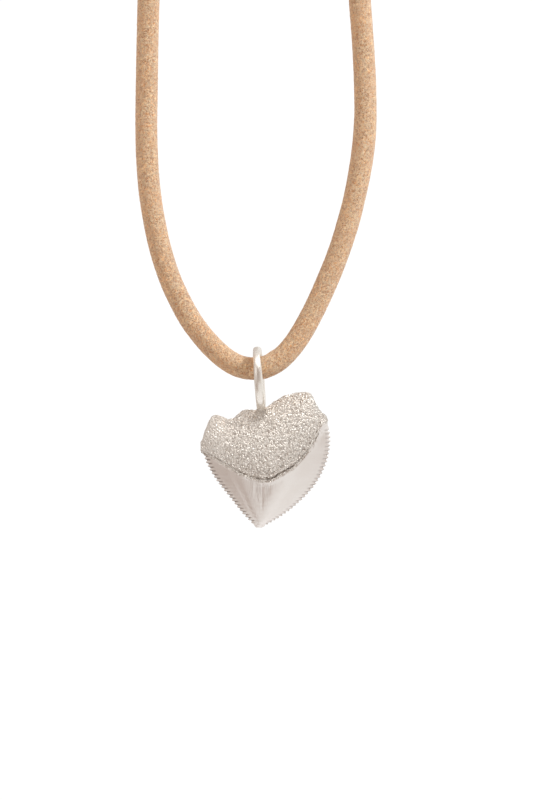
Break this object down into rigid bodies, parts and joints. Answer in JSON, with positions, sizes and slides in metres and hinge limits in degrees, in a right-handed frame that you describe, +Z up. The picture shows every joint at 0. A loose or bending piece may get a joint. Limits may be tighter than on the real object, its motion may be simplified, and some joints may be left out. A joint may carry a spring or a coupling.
{
  "type": "shark tooth necklace",
  "caption": "Cast silver shark tooth with a soldered ring, hanging from a closed loop of thick round leather cord.",
  "frame": {"origin": "middle of the underside of the clasp, where the hung necklace sits on its peg", "axes": "+Z up, towards the clasp; +X to the viewer's right; +Y away from the viewer, from the front of the tooth to its back"},
  "size_m": [0.0458, 0.0122, 0.2347],
  "materials": {
    "leather": "natural undyed, finely speckled",
    "cast_silver": "granular root, satin crown",
    "clasp_silver": "satin"
  },
  "bodies": {
    "cord_loop": {"leather_cord": "leather", "clasp": "clasp_silver"},
    "pendant": {"tooth_pendant": "cast_silver"}
  },
  "joints": [
    {"name": "pendant_swing", "type": "hinge", "parent": "cord_loop", "child": "pendant", "pos_m": [0.0011, 0, -0.1996], "axis": [1, 0, 0], "range_deg": [-135, 135]}
  ]
}
